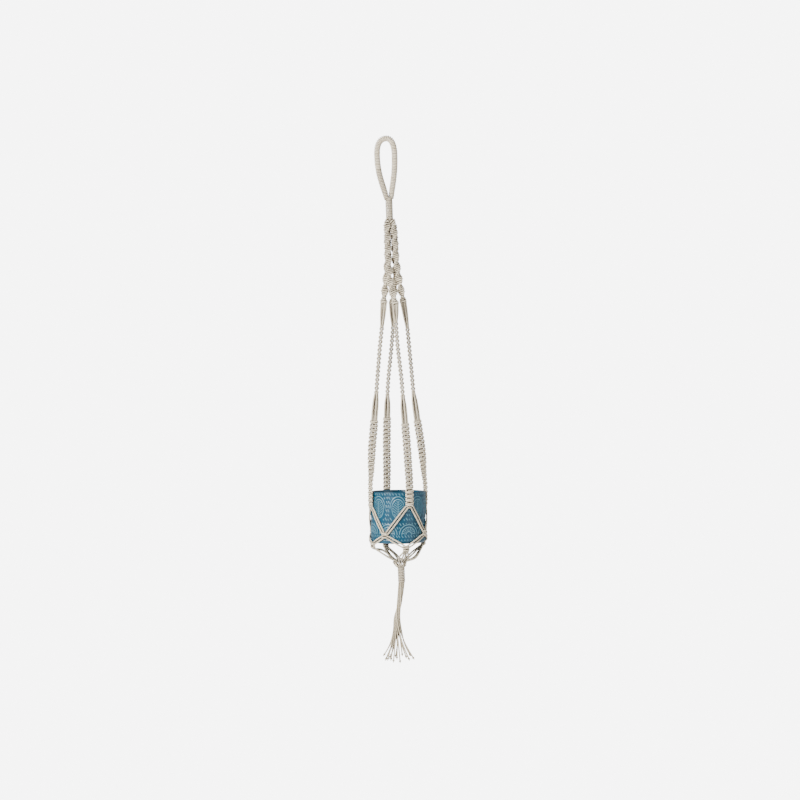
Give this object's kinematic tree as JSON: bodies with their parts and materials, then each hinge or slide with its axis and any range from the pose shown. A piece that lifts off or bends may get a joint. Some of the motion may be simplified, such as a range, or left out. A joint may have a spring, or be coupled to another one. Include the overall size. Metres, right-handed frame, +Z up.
{
  "type": "hanging macrame planter",
  "caption": "Corded plant hanger with a wrapped loop, spiral, braided and flat knotted legs, a knotted net holding a glazed pot, and a tassel.",
  "frame": {"origin": "where the hook bears, on the underside of the hanging loop's top", "axes": "+Z up along the hanging line; the loop lies in the XZ plane"},
  "size_m": [0.1412, 0.1395, 1.2219],
  "materials": {
    "core_cord": "natural cotton cord, undyed",
    "wrapping_cord": "natural cotton cord wound tight",
    "knotted_cord": "natural three-ply cotton cord, knotted",
    "tassel_cord": "natural three-ply cotton cord, loose",
    "glazed_pot": "teal-blue glaze over shallow relief"
  },
  "bodies": {
    "loop": {"loop_core": "core_cord", "loop_wrap": "wrapping_cord"},
    "neck": {"neck_core": "core_cord", "neck_wrap": "wrapping_cord"},
    "cradle": {"right_spiral": "knotted_cord", "right_upper_strands": "knotted_cord", "right_braid": "knotted_cord", "right_lower_strands": "knotted_cord", "right_flat_sennit": "knotted_cord", "right_net_upper_cords": "knotted_cord", "right_net_middle_cords": "knotted_cord", "right_net_lower_cords": "knotted_cord", "back_spiral": "knotted_cord", "back_upper_strands": "knotted_cord", "back_braid": "knotted_cord", "back_lower_strands": "knotted_cord", "back_flat_sennit": "knotted_cord", "back_net_upper_cords": "knotted_cord", "back_net_middle_cords": "knotted_cord", "back_net_lower_cords": "knotted_cord", "left_spiral": "knotted_cord", "left_upper_strands": "knotted_cord", "left_braid": "knotted_cord", "left_lower_strands": "knotted_cord", "left_flat_sennit": "knotted_cord", "left_net_upper_cords": "knotted_cord", "left_net_middle_cords": "knotted_cord", "left_net_lower_cords": "knotted_cord", "front_spiral": "knotted_cord", "front_upper_strands": "knotted_cord", "front_braid": "knotted_cord", "front_lower_strands": "knotted_cord", "front_flat_sennit": "knotted_cord", "front_net_upper_cords": "knotted_cord", "front_net_middle_cords": "knotted_cord", "front_net_lower_cords": "knotted_cord", "first_row_knots": "knotted_cord", "second_row_knots": "knotted_cord"},
    "pot": {"pot": "glazed_pot"},
    "gather": {"crown_knot": "knotted_cord", "gather_wrap": "wrapping_cord"},
    "tassel": {"tassel_cord_01": "tassel_cord", "tassel_cord_02": "tassel_cord", "tassel_cord_03": "tassel_cord", "tassel_cord_04": "tassel_cord", "tassel_cord_05": "tassel_cord", "tassel_cord_06": "tassel_cord", "tassel_cord_07": "tassel_cord", "tassel_cord_08": "tassel_cord", "tassel_cord_09": "tassel_cord", "tassel_cord_10": "tassel_cord", "tassel_cord_11": "tassel_cord", "tassel_cord_12": "tassel_cord", "tassel_cord_13": "tassel_cord", "tassel_cord_14": "tassel_cord", "tassel_cord_15": "tassel_cord", "tassel_cord_16": "tassel_cord", "tassel_end_knots": "tassel_cord"}
  },
  "joints": [
    {"name": "neck_swing", "type": "hinge", "parent": "loop", "child": "neck", "pos_m": [0.0025, 0, -0.141], "axis": [1, 0, 0], "range_deg": [-30, 30]},
    {"name": "cradle_swing", "type": "hinge", "parent": "neck", "child": "cradle", "pos_m": [0.0025, 0, -0.1755], "axis": [0, 1, 0], "range_deg": [-30, 30]},
    {"name": "pot_lift", "type": "slide", "parent": "cradle", "child": "pot", "axis": [0.0314, 0, 0.9995], "range_m": [0, 0.018]},
    {"name": "gather_swing", "type": "hinge", "parent": "cradle", "child": "gather", "pos_m": [0, 0, -0.976], "axis": [1, 0, 0], "range_deg": [-30, 30]},
    {"name": "tassel_swing", "type": "hinge", "parent": "gather", "child": "tassel", "pos_m": [0, 0, -1.018], "axis": [0, 1, 0], "range_deg": [-25, 25]}
  ]
}
